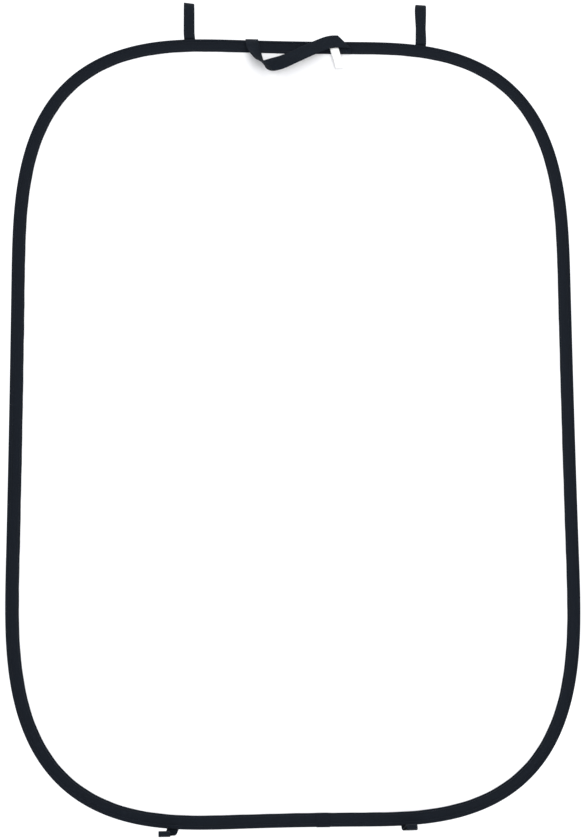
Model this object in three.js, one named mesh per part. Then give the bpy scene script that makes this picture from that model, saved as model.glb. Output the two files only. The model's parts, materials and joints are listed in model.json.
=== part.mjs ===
// A tall pop-up reflector panel: a flat spring-steel hoop in a folded edge tape, two face cloths,
// four webbing loops, a slack carrying strap and a plain sewn label. Millimetres, +Z up.
// The panel stands in the XZ plane with its white face towards -Y. The origin lies on the bar that the
// two top loops hang from, above the middle of the panel.
import * as THREE from "three";

// Outline: straight sides and ends joined by corners on a superellipse.
const panelWidth = 1500;
const panelHeight = 2094;
const cornerWidth = 614;
const cornerHeight = 674;
const cornerPower = 3.04;
const sideDip = 1.7; // how far the long sides draw in at their middle
const endDip = 4.4; // how far the short ends draw in at their middle
const barAboveTop = 88; // from the outline's highest line up to the hanging bar's axis
const splitGap = 0.6; // clearance between the upper and the lower half at mid-height
const edgeSteps = 64; // straight steps along half of the outline

// Folded edge tape, as (distance in front of the mid-plane, distance in from the outer edge).
const tapeThickness = 0.8;
const tapeFold = [
  [1.6, 33.6],
  [2.0, 8.6],
  [4.8, 5.2],
  [4.8, 1.9],
  [3.9, 0.4],
  [-3.9, 0.4],
  [-4.8, 1.9],
  [-4.8, 5.2],
  [-2.0, 8.6],
  [-1.6, 33.6],
];
const tapeFrontDepth = 5.2; // outer face of the bead that holds the hoop
const tapeLap = { gap: 0.35, thickness: 0.6, from: 2.94, to: 2.965 };

// Spring-steel hoop and the sleeve that joins its ends at the bottom.
const hoop = { width: 6, thickness: 1.5, inset: 2.65 };
const sleeve = { length: 60, halfWidth: 3.9, inset: 1.8, height: 3.2, wall: 0.5 };
const hoopEndGap = 1;

// Face cloths, one behind the other, with their edges inside the tape.
const cloth = { inset: 11, thickness: 0.7, offset: 0.15 };

// Webbing loops. A loop turns about a line this far outside the edge.
const webbing = { width: 28, thickness: 1.6 };
const loopPivot = 4.4;
const loopOpening = { top: 23, bottom: 11 };
const loops = [
  { name: "top_loop_left", x: -282.5, up: true, length: 94, lean: -1.5 },
  { name: "top_loop_right", x: 352, up: true, length: 111, lean: 0.5 },
  { name: "bottom_loop_left", x: -318, up: false, length: 75, drop: 3, bend: 6, rise: 20, lean: -18 },
  { name: "bottom_loop_right", x: 280.5, up: false, length: 70, drop: 0, bend: 4, rise: 28, lean: 10 },
];

// Where a webbing end lies flat on the tape, as (distance from the mid-plane, distance in from the edge).
const sewnPath = [
  [6.3, 1.4],
  [6.3, 6.3],
  [3.6, 10.4],
  [3.2, 32],
];

// Carrying strap: the middle of the strap and the direction across it, in from the left end. Heights are
// measured from the top edge.
const strap = { width: 33, thickness: 1.6, steps: 44 };
const strapStations = [
  { at: [-115, -8.2, 2], across: [1, 0, 0] },
  { at: [-102, -13, -38], across: [0.99, 0.12, 0.05] },
  { at: [-90, -20, -60], across: [0.6, 0.75, 0.28] },
  { at: [-80, -24, -75], across: [0.05, 0.95, 0.3] },
  { at: [-67, -27, -81], across: [0, 0.93, -0.36] },
  { at: [-45, -28, -78], across: [0.08, 0.4, -0.91] },
  { at: [-10, -26, -63], across: [0.25, 0, -0.97] },
  { at: [32, -22, -37], across: [0.34, 0, -0.94] },
  { at: [75, -16, -15], across: [0.3, 0, -0.95] },
  { at: [121, -9.6, -2], across: [0.1, 0, -0.99] },
];
const strapLeftX = -115;
const strapRightX = 141;

// Sewn label: its hem is caught behind the strap and the rest hangs free.
const label = { x: 109, width: 22.5, thickness: 0.5, hem: 15, length: 54, depth: 7.3, top: 7, slope: 0.2 };
const labelGap = 0.6;

const halfWidth = panelWidth / 2;
const halfHeight = panelHeight / 2;
const topEdge = halfHeight - endDip;

const palette = {
  faceWhite: new THREE.MeshStandardMaterial({ color: 0xf6f6f8, roughness: 0.85, metalness: 0 }),
  backSilver: new THREE.MeshStandardMaterial({ color: 0xb9bcc0, roughness: 0.45, metalness: 0.6 }),
  edgeTape: new THREE.MeshStandardMaterial({ color: 0x171d24, roughness: 0.8, metalness: 0 }),
  blackWebbing: new THREE.MeshStandardMaterial({ color: 0x12171d, roughness: 0.85, metalness: 0 }),
  springSteel: new THREE.MeshStandardMaterial({ color: 0x9a9ea3, roughness: 0.35, metalness: 0.9 }),
  labelWhite: new THREE.MeshStandardMaterial({ color: 0xf2f2f2, roughness: 0.7, metalness: 0 }),
};

function smoothstep(value, low, high) {
  const share = THREE.MathUtils.clamp((value - low) / (high - low), 0, 1);
  return share * share * (3 - 2 * share);
}

// The outline, clockwise as seen from the front. The course counts quarters: 0 is the middle of the left
// side, 1 the middle of the top, 2 the middle of the right side and 3 the middle of the bottom.
class PanelEdge extends THREE.Curve {
  constructor(from, to) {
    super();
    this.from = from;
    this.to = to;
    this.arcLengthDivisions = 2000;
  }

  getPoint(share, target = new THREE.Vector3()) {
    const course = this.from + (this.to - this.from) * share;
    const quarter = Math.min(Math.floor(course), 3);
    const along = course - quarter;
    const [x, z] = quarterPoint(quarter % 2 === 0 ? along : 1 - along);
    const right = quarter === 1 || quarter === 2;
    return target.set(right ? x : -x, 0, quarter < 2 ? z : -z);
  }
}

// One quarter of the outline, from the middle of a side (0) to the middle of an end (1).
const sideShare = 0.25;
const cornerShare = 0.65;
function quarterPoint(along) {
  const sideRun = halfHeight - cornerHeight;
  const endRun = halfWidth - cornerWidth;
  let x = halfWidth;
  let z = (sideRun * along) / sideShare;
  if (along > sideShare) {
    const turn = (Math.min((along - sideShare) / cornerShare, 1) * Math.PI) / 2;
    const c = Math.cos(turn);
    const s = Math.sin(turn);
    const reach = (c ** cornerPower + s ** cornerPower) ** (-1 / cornerPower);
    x = endRun + cornerWidth * c * reach;
    z = sideRun + cornerHeight * s * reach;
  }
  if (along > sideShare + cornerShare) x = (endRun * (1 - along)) / (1 - sideShare - cornerShare);
  return [x - dip(sideDip, z, halfHeight - cornerHeight / 2), z - dip(endDip, x, halfWidth - cornerWidth / 2)];
}

// A shallow hollow, deepest at the middle and gone at the given reach.
function dip(depth, distance, reach) {
  return depth * Math.cos((Math.min(distance / reach, 1) * Math.PI) / 2) ** 2;
}

// Height of the top edge at a place across the panel.
function edgeHeight(x) {
  const out = Math.abs(x);
  const endRun = halfWidth - cornerWidth;
  const corner = Math.max(out - endRun, 0) / cornerWidth;
  const rise = cornerHeight * (1 - corner ** cornerPower) ** (1 / cornerPower);
  return halfHeight - cornerHeight + rise - dip(endDip, out, halfWidth - cornerWidth / 2);
}

// A path pushed sideways by a distance, with mitred joints.
function offsetPath(path, distance) {
  return path.map((point, i) => {
    const before = path[Math.max(i - 1, 0)];
    const after = path[Math.min(i + 1, path.length - 1)];
    const first = i > 0 ? leftNormal(before, point) : leftNormal(point, after);
    const second = i < path.length - 1 ? leftNormal(point, after) : first;
    const mitre = distance / (1 + first[0] * second[0] + first[1] * second[1]);
    return [point[0] + (first[0] + second[0]) * mitre, point[1] + (first[1] + second[1]) * mitre];
  });
}

function leftNormal(a, b) {
  const length = Math.hypot(b[0] - a[0], b[1] - a[1]);
  return [-(b[1] - a[1]) / length, (b[0] - a[0]) / length];
}

// The section of a sheet that follows a path, between two offsets from it.
function sheetSection(path, near, far) {
  const outline = [...offsetPath(path, near), ...offsetPath(path, far).reverse()];
  return new THREE.Shape(outline.map(([a, b]) => new THREE.Vector2(a, b)));
}

function rectangle(x0, x1, y0, y1) {
  return new THREE.Shape([
    new THREE.Vector2(x0, y0),
    new THREE.Vector2(x1, y0),
    new THREE.Vector2(x1, y1),
    new THREE.Vector2(x0, y1),
  ]);
}

// A section, drawn as (in front of the mid-plane, in from the edge), carried along the outline.
function alongEdge(section, from, to, steps) {
  return new THREE.ExtrudeGeometry(section, { extrudePath: new PanelEdge(from, to), steps });
}

// A section drawn in the side view (Y, Z) and carried across the panel about the middle x.
function acrossPanel(section, x, width, steps = 1) {
  const geometry = new THREE.ExtrudeGeometry(section, { depth: width, steps, bevelEnabled: false });
  const turn = new THREE.Matrix4().makeBasis(
    new THREE.Vector3(0, 1, 0),
    new THREE.Vector3(0, 0, 1),
    new THREE.Vector3(1, 0, 0),
  );
  return geometry.applyMatrix4(turn).translate(x - width / 2, 0, 0);
}

function piece(name, geometry, material) {
  const mesh = new THREE.Mesh(geometry, material);
  mesh.name = name;
  return mesh;
}

// Half of a face cloth: the outline drawn in from the edge, closed across the panel at mid-height.
function clothHalf(from, to, backY) {
  const edge = new PanelEdge(from, to);
  const outline = [];
  for (let i = 0; i <= edgeSteps; i += 1) {
    const point = edge.getPointAt(i / edgeSteps);
    const ahead = edge.getTangentAt(i / edgeSteps);
    outline.push(new THREE.Vector2(point.x + ahead.z * cloth.inset, point.z - ahead.x * cloth.inset));
  }
  const flat = new THREE.ExtrudeGeometry(new THREE.Shape(outline), {
    depth: cloth.thickness,
    bevelEnabled: false,
  });
  return flat.rotateX(Math.PI / 2).translate(0, backY, 0);
}

// A closed webbing loop laid flat: across its opening, along its length from the pivot, and its width.
function loopSection(length, opening) {
  const capCentre = length - opening / 2 - webbing.thickness;
  const outer = [];
  const inner = [];
  const stations = 14;
  for (let i = 0; i <= stations; i += 1) {
    const along = (capCentre * i) / stations;
    const gap = 0.1 + (opening / 2 - 0.1) * smoothstep(along, 12, capCentre);
    outer.push([gap + webbing.thickness, along]);
    if (gap > 0.3) inner.push([gap, along]);
  }
  const capSteps = 12;
  for (let i = 1; i < capSteps; i += 1) {
    const turn = (i / capSteps) * Math.PI;
    const ray = [Math.cos(turn), Math.sin(turn)];
    const outerRadius = opening / 2 + webbing.thickness;
    outer.push([ray[0] * outerRadius, capCentre + ray[1] * outerRadius]);
    inner.push([(ray[0] * opening) / 2, capCentre + (ray[1] * opening) / 2]);
  }
  const section = new THREE.Shape([...mirrored(outer, capSteps - 1), ...rootRound()]);
  section.holes.push(new THREE.Path(mirrored(inner, capSteps - 1)));
  return section;
}

// Adds the other side of a contour whose last points already run right round its cap.
function mirrored(points, capPoints) {
  const side = points.slice(0, points.length - capPoints);
  const other = side.map(([a, b]) => [-a, b]).reverse();
  return [...points, ...other].map(([a, b]) => new THREE.Vector2(a, b));
}

// The round foot of a loop, which turns in place about the pivot.
function rootRound() {
  const radius = 0.1 + webbing.thickness;
  const foot = [];
  for (let i = 1; i < 6; i += 1) {
    const turn = Math.PI + (i / 6) * Math.PI;
    foot.push(new THREE.Vector2(Math.cos(turn) * radius, Math.sin(turn) * radius));
  }
  return foot;
}

// Where a loop's middle line runs in the side view: straight up, or down, round a bend and forward.
function loopSpine(loop, along) {
  if (loop.up) return { y: 0, z: along, ahead: [0, 1], shift: (loop.lean * along) / loop.length };
  const bendAngle = Math.PI / 2 + THREE.MathUtils.degToRad(loop.rise);
  const past = along - loop.drop;
  const turned = THREE.MathUtils.clamp(past / loop.bend, 0, bendAngle);
  const straight = past < 0 ? past : past - turned * loop.bend;
  const ahead = [-Math.sin(turned), -Math.cos(turned)];
  return {
    y: -loop.bend * (1 - Math.cos(turned)) + ahead[0] * straight,
    z: -loop.drop - loop.bend * Math.sin(turned) + ahead[1] * straight,
    ahead,
    shift: loop.lean * smoothstep(along, 0, 26),
  };
}

function webbingLoop(loop) {
  const opening = loop.up ? loopOpening.top : loopOpening.bottom;
  const geometry = new THREE.ExtrudeGeometry(loopSection(loop.length, opening), {
    depth: webbing.width,
    bevelEnabled: false,
  });
  const place = geometry.getAttribute("position");
  const sign = loop.up ? 1 : -1;
  for (let i = 0; i < place.count; i += 1) {
    const across = place.getX(i);
    const spine = loopSpine(loop, place.getY(i));
    place.setXYZ(
      i,
      loop.x - webbing.width / 2 + place.getZ(i) + spine.shift,
      spine.y + spine.ahead[1] * across,
      sign * (edgeHeight(loop.x) + loopPivot) + spine.z - spine.ahead[0] * across,
    );
  }
  return piece(loop.name, geometry, palette.blackWebbing);
}

// A webbing end sewn flat on the tape. Side 1 is the back of the panel and -1 the front.
function sewnEnd(name, path, x, up, side, width) {
  const edge = up ? edgeHeight(x) : -edgeHeight(x);
  const inwards = up ? -1 : 1;
  const placed = path.map(([out, inset]) => [side * out, edge + inwards * inset]);
  const half = webbing.thickness / 2;
  const lean = (edgeHeight(x + 1) - edgeHeight(x - 1)) / 2;
  const alongSlope = new THREE.Matrix4().makeShear(0, up ? lean : -lean, 0, 0, 0, 0);
  const geometry = acrossPanel(sheetSection(placed, -half, half), 0, width);
  geometry.applyMatrix4(alongSlope).translate(x, 0, 0);
  return piece(name, geometry, palette.blackWebbing);
}

// The carrying strap: a flat strip bent through its stations.
function carryingStrap() {
  const middle = new THREE.CatmullRomCurve3(
    strapStations.map(({ at }) => new THREE.Vector3(at[0], at[1], topEdge + at[2])),
  );
  const across = new THREE.CatmullRomCurve3(strapStations.map((s) => new THREE.Vector3(...s.across)));
  const geometry = new THREE.BoxGeometry(strap.thickness, strap.width, 1, 1, 1, strap.steps);
  const place = geometry.getAttribute("position");
  for (let i = 0; i < place.count; i += 1) {
    const share = place.getZ(i) + 0.5;
    const side = across.getPoint(share).normalize();
    const out = side.clone().cross(middle.getTangent(share)).normalize();
    const point = middle.getPoint(share);
    point.addScaledVector(side, place.getY(i)).addScaledVector(out, place.getX(i));
    place.setXYZ(i, point.x, point.y, point.z);
  }
  return piece("carrying_strap", geometry, palette.blackWebbing);
}

// A stretch of the label between two distances below its top, drifting sideways as it goes down.
function labelStretch(name, from, to) {
  const top = topEdge - label.top;
  const section = rectangle(-label.depth - label.thickness, -label.depth, top - to, top - from);
  const slant = new THREE.Matrix4().makeShear(0, 0, 0, 0, -label.slope, 0);
  const geometry = acrossPanel(section, label.x, label.width);
  geometry.translate(0, 0, -top).applyMatrix4(slant).translate(0, 0, top);
  return piece(name, geometry, palette.labelWhite);
}

function hoopStretch(name, from, to, steps) {
  const half = hoop.width / 2;
  const section = rectangle(-half, half, hoop.inset, hoop.inset + hoop.thickness);
  return piece(name, alongEdge(section, from, to, steps), palette.springSteel);
}

// The sleeve round the two ends of the hoop at the middle of the bottom edge.
function hoopSleeve() {
  const low = -topEdge + sleeve.inset;
  const high = low + sleeve.height;
  const section = rectangle(-sleeve.halfWidth, sleeve.halfWidth, low, high);
  const bore = sleeve.halfWidth - sleeve.wall;
  section.holes.push(rectangle(-bore, bore, low + sleeve.wall, high - sleeve.wall));
  return piece("hoop_sleeve", acrossPanel(section, 0, sleeve.length), palette.springSteel);
}

// Share of a quarter that a short length takes on the straight stretch of a side, or of an end.
const sideTrim = ((splitGap / 2) * sideShare) / (halfHeight - cornerHeight);
const endTrim = ((hoopEndGap / 2) * (1 - sideShare - cornerShare)) / (halfWidth - cornerWidth);
const upper = { from: sideTrim, to: 2 - sideTrim };
const lower = { from: 2 + sideTrim, to: 4 - sideTrim };

const tapeSection = sheetSection(tapeFold, -tapeThickness / 2, tapeThickness / 2);
const lapFrom = tapeThickness / 2 + tapeLap.gap;
const lapSection = sheetSection(tapeFold, lapFrom, lapFrom + tapeLap.thickness);
const frontClothBack = -cloth.offset;
const backClothBack = cloth.offset + cloth.thickness;

const upperHalf = new THREE.Group();
upperHalf.add(
  hoopStretch("hoop_upper", upper.from, upper.to, edgeSteps),
  piece("edge_tape_upper", alongEdge(tapeSection, upper.from, upper.to, edgeSteps), palette.edgeTape),
  piece("front_cloth_upper", clothHalf(upper.from, upper.to, frontClothBack), palette.faceWhite),
  piece("back_cloth_upper", clothHalf(upper.from, upper.to, backClothBack), palette.backSilver),
);

const lowerHalf = new THREE.Group();
lowerHalf.add(
  hoopStretch("hoop_lower_right", lower.from, 3 - endTrim, edgeSteps / 2),
  hoopStretch("hoop_lower_left", 3 + endTrim, lower.to, edgeSteps / 2),
  hoopSleeve(),
  piece("edge_tape_lower", alongEdge(tapeSection, lower.from, lower.to, edgeSteps), palette.edgeTape),
  piece("edge_tape_lap", alongEdge(lapSection, tapeLap.from, tapeLap.to, 2), palette.edgeTape),
  piece("front_cloth_lower", clothHalf(lower.from, lower.to, frontClothBack), palette.faceWhite),
  piece("back_cloth_lower", clothHalf(lower.from, lower.to, backClothBack), palette.backSilver),
);

for (const loop of loops) {
  const half = loop.up ? upperHalf : lowerHalf;
  half.add(webbingLoop(loop), sewnEnd(`${loop.name}_end`, sewnPath, loop.x, loop.up, 1, webbing.width));
}

const overTheEdge = [...[...sewnPath].reverse(), [4.8, -1.3], [-4.6, -1.3]];
upperHalf.add(
  sewnEnd("strap_end_left", overTheEdge, strapLeftX, true, 1, strap.width),
  sewnEnd("strap_end_right", sewnPath, strapRightX, true, -1, strap.width),
  carryingStrap(),
  labelStretch("label_hem", 0, label.hem),
  labelStretch("label", label.hem + labelGap, label.hem + labelGap + label.length),
);

const reflector = new THREE.Group();
reflector.add(upperHalf, lowerHalf);
for (const half of [upperHalf, lowerHalf]) half.position.z = -(barAboveTop + halfHeight);

export default reflector;
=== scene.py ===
"""A tall pop-up reflector panel: a sprung hoop in folded black tape, white and silver cloths stretched
inside it, four webbing loops, a slack carrying strap and a plain sewn label. The panel stands in the XZ
plane, its white face looks along -Y, and the origin is on the bar that it hangs from."""

import json
import math
from dataclasses import dataclass

import bpy
import numpy as np
from bpy.props import FloatProperty, FloatVectorProperty, IntProperty, PointerProperty
from bpy.types import Operator, Panel, PropertyGroup
from mathutils import Matrix, Vector


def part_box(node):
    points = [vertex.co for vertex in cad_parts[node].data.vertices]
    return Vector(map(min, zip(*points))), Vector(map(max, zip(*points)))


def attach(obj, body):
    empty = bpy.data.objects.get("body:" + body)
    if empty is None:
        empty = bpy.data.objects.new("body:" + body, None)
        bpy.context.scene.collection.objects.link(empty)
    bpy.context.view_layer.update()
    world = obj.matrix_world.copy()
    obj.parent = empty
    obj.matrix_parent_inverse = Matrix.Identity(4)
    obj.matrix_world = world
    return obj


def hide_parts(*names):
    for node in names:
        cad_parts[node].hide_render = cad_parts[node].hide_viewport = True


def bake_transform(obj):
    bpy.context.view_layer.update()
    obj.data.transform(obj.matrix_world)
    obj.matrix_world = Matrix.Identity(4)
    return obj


bl_info = {
    "name": "Pop-up reflector panel",
    "version": (1, 0, 0),
    "blender": (4, 5, 0),
    "location": "View3D > Sidebar > Reflector",
    "description": "Builds a folding reflector panel with its tape, loops, strap and label",
    "category": "Object",
}

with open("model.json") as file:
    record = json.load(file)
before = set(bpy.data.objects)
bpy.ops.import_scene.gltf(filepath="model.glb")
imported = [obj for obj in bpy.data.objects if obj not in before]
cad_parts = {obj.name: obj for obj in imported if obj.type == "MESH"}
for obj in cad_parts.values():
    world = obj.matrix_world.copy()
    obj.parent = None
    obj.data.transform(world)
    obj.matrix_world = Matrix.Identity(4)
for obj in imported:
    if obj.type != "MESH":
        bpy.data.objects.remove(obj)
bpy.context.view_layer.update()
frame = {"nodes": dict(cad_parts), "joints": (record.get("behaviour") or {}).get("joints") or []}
joints = {joint["name"]: joint for joint in frame["joints"]}
fold_height = joints["half_fold"]["pos_m"][2]
strap_low, strap_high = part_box("strap_end_right")
hem_low, hem_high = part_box("label_hem")
label_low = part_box("label")[0]
lap_low, lap_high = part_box("edge_tape_lap")

MM = 0.001
TAU = 2 * math.pi
CLOTH_DEPTH = 0.5 * MM
SEAM_PITCH = 2.7 * MM
SEAM_STITCH = 2.2 * MM
SEWN_NEAR, SEWN_FAR = 14.5 * MM, 29 * MM
PLY_GAP = 0.12 * MM
# Depth of the middle of webbing that lies on the tape's face, in millimetres.
ON_TAPE = 2.85
FLOOR_GAP = 0.32
WORLD_STRENGTH = 1.2
KEY_STRENGTH = 6.0
FILL_STRENGTH = 40.0
BACK_STRENGTH = 45.0


# ---------------------------------------------------------------- sizes and colours


def length_size(name, description, millimetres):
    return FloatProperty(
        name=name, description=description, default=millimetres * MM, unit="LENGTH", precision=5
    )


def cloth_colour(name, description, default):
    return FloatVectorProperty(
        name=name, description=description, default=default, subtype="COLOR", size=3, min=0, max=1
    )


class ReflectorSizes(PropertyGroup):
    """Sizes of the panel that the solids' boxes don't give."""

    half_width: length_size("Half width", "From the middle to the widest line of the outline", 750)
    half_height: length_size("Half height", "From mid-height to the highest line of the outline", 1047)
    corner_width: length_size("Corner width", "How far a corner reaches along an end", 614)
    corner_height: length_size("Corner height", "How far a corner reaches along a side", 674)
    corner_power: FloatProperty(name="Corner power", description="Exponent of a corner's curve", default=3.04)
    side_dip: length_size("Side dip", "How far a long side draws in at its middle", 1.7)
    end_dip: length_size("End dip", "How far a short end draws in at its middle", 4.4)
    tape_width: length_size("Tape width", "Width of the edge tape on each face", 35)
    bead_depth: length_size("Bead depth", "From the mid-plane to the face of the bead", 5.2)
    hem_depth: length_size("Hem depth", "From the mid-plane to the face of the flat hem", 1.95)
    cloth_thickness: length_size("Cloth thickness", "Thickness of each cloth", 0.25)
    cloth_inset: length_size("Cloth inset", "From the outer edge to the cloth's edge in the tape", 12)
    outer_stitches: length_size("Outer stitches", "From the outer edge to the stitches behind the hoop", 8.9)
    inner_stitches: length_size("Inner stitches", "From the outer edge to the stitches by the cloth", 29.6)
    fold_reach: length_size("Fold reach", "How far above and below mid-height the fold bends the panel", 420)
    loop_width: length_size("Loop width", "Width of the loops' webbing", 28)
    strap_width: length_size("Strap width", "Width of the carrying strap's webbing", 35)
    webbing_thickness: length_size("Webbing thickness", "Thickness of all webbing", 1.6)
    weave_pitch: length_size("Weave pitch", "Width of one column of the webbing's herringbone", 2.33)
    stitch_length: length_size("Stitch length", "From one needle hole to the next", 4.2)
    cloth_columns: IntProperty(name="Cloth columns", description="Cells across a cloth", default=150)
    cloth_rows: IntProperty(name="Cloth rows", description="Cells up a cloth", default=210)


class ReflectorColours(PropertyGroup):
    """Colours of the panel and its stage."""

    white_cloth: cloth_colour("White cloth", "Front face", (0.9, 0.9, 0.905))
    silver_cloth: cloth_colour("Silver cloth", "Back face", (0.5, 0.51, 0.53))
    edge_tape: cloth_colour("Edge tape", "Folded tape round the edge", (0.0042, 0.0068, 0.0115))
    webbing: cloth_colour("Webbing", "Loops and carrying strap", (0.0022, 0.0056, 0.011))
    thread: cloth_colour("Thread", "Sewing thread", (0.008, 0.011, 0.016))
    steel: cloth_colour("Steel", "Hoop and its sleeve", (0.56, 0.57, 0.6))
    label: cloth_colour("Label", "Sewn label", (0.88, 0.88, 0.87))
    floor: cloth_colour("Floor", "Pale studio floor", (0.93, 0.93, 0.93))


def sizes():
    return bpy.context.scene.reflector_sizes


def colours():
    return bpy.context.scene.reflector_colours


# ---------------------------------------------------------------- the outline


def dip(depth, distance, reach):
    """A shallow hollow: the depth times the square of a cosine that falls to nothing at the reach."""
    return depth * np.cos(np.minimum(np.abs(distance) / reach, 1) * math.pi / 2) ** 2


def quarter_outline(count):
    """One quarter of the outline, from the middle of a side to the middle of an end: a straight run, a
    superellipse round the corner and a straight run, then each drawn in by its dip."""
    size = sizes()
    side_run = size.half_height - size.corner_height
    end_run = size.half_width - size.corner_width
    turn = np.linspace(0, math.pi / 2, count)
    power = size.corner_power
    reach = (np.cos(turn) ** power + np.sin(turn) ** power) ** (-1 / power)
    corner_x = end_run + size.corner_width * np.cos(turn) * reach
    corner_z = side_run + size.corner_height * np.sin(turn) * reach
    side_z = np.linspace(0, side_run, count // 4, endpoint=False)
    end_x = np.linspace(end_run, 0, count // 8)[1:]
    x = np.concatenate([np.full(side_z.size, size.half_width), corner_x, end_x])
    z = np.concatenate([side_z, corner_z, np.full(end_x.size, size.half_height)])
    inward_x = dip(size.side_dip, z, size.half_height - size.corner_height / 2)
    inward_z = dip(size.end_dip, x, size.half_width - size.corner_width / 2)
    return np.stack([x - inward_x, z - inward_z], -1)


class Outline:
    """The outline as a function of distance along it, clockwise as seen from the front, from the middle of
    the left side. Heights are from the fold line."""

    def __init__(self):
        quarter = quarter_outline(2400)
        left = quarter * (-1, 1)
        right = quarter[::-1]
        low_right = quarter * (1, -1)
        low_left = (quarter * (-1, -1))[::-1]
        ring = np.concatenate([left, right[1:], low_right[1:], low_left[1:]])
        self.ring = ring
        self.travel = np.concatenate([[0], np.cumsum(np.hypot(*np.diff(ring, axis=0).T))])
        self.length = self.travel[-1]

    def point(self, along):
        """The edge at a distance along it, as X and height above the fold line."""
        along = np.mod(along, self.length)
        return np.stack([np.interp(along, self.travel, self.ring[:, k]) for k in (0, 1)], -1)

    def ahead(self, along):
        """The way along the edge."""
        step = 2 * MM
        way = self.point(along + step) - self.point(along - step)
        return way / np.linalg.norm(way, axis=-1, keepdims=True)

    def inward(self, along):
        """The way in from the edge, square to it."""
        way = self.ahead(along)
        return np.stack([way[..., 1], -way[..., 0]], -1)

    def frame(self, along):
        """Points of the edge and the ways inward from them, each as a column for a section."""
        return self.point(along)[:, None], self.inward(along)[:, None]

    def inset(self, along, distance):
        """Points at a distance in from the edge, as X and height above the fold line."""
        return self.point(along) + self.inward(along) * np.asarray(distance)[..., None]

    def along_at(self, x, top):
        """Distance along the outline of the place at x on the top or the bottom end."""
        half = self.length / 2
        lengths = np.linspace(0, half, 6000) + (0 if top else half)
        return lengths[np.argmin(np.abs(self.point(lengths)[:, 0] - x))]

    def edge_height(self, x, top=True):
        """Height above the fold line of the outline's top or bottom end at x."""
        return float(self.point(np.array([self.along_at(x, top)]))[0, 1])

    def corners(self):
        """Distances along the outline of the middles of its four corners: low left, top left, top right and
        low right, where the way along it slants most."""
        top_left = self.travel[: len(self.travel) // 4]
        slant = np.abs(np.prod(self.ahead(top_left), -1))
        reach = float(top_left[slant.argmax()])
        half = self.length / 2
        return -reach, reach, half - reach, half + reach


def smooth_path(points, count, reach=None):
    """A smooth path through points at equal steps of length. Each stretch is a cubic whose slope at a point
    is the mean of the slopes of the chords beside it, weighted by the other chord's length. Only the first
    reach numbers of a point count for length."""
    points = np.asarray(points, float)
    chord = np.linalg.norm(np.diff(points[:, :reach], axis=0), axis=1)
    knot = np.concatenate([[0], np.cumsum(chord)])
    slope = np.diff(points, axis=0) / chord[:, None]
    before, after = chord[:-1, None], chord[1:, None]
    middle = (slope[:-1] * after + slope[1:] * before) / (before + after)
    tangent = np.concatenate([slope[:1], middle, slope[-1:]])
    at = np.linspace(0, knot[-1], count)
    k = np.clip(np.searchsorted(knot, at, side="right") - 1, 0, len(chord) - 1)
    t = ((at - knot[k]) / chord[k])[:, None]
    pull = chord[k, None]
    return (
        points[k] * (1 + 2 * t) * (1 - t) ** 2
        + tangent[k] * pull * t * (1 - t) ** 2
        + points[k + 1] * t**2 * (3 - 2 * t)
        - tangent[k + 1] * pull * t**2 * (1 - t)
    )


def ease(value):
    """A smooth step: three times the square less twice the cube, held between 0 and 1."""
    value = np.clip(value, 0, 1)
    return value * value * (3 - 2 * value)


def travel(points):
    """Distance along a path at each of its points."""
    return np.concatenate([[0], np.cumsum(np.linalg.norm(np.diff(points, axis=0), axis=-1))])


def unit(vectors):
    """Vectors brought to a length of one."""
    return vectors / np.maximum(np.linalg.norm(vectors, axis=-1, keepdims=True), 1e-12)


def ripple(along, length, waves, seed):
    """Smooth closed noise: a sum of sines with a whole number of waves in the length, and fixed phases."""
    draw = np.random.default_rng(seed)
    total = 0
    for wave in waves:
        count = max(round(length / wave), 1)
        total = total + np.sin(TAU * count * along / length + draw.uniform(0, TAU)) * draw.uniform(0.6, 1)
    return total / len(waves)


# ---------------------------------------------------------------- meshes from grids


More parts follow.
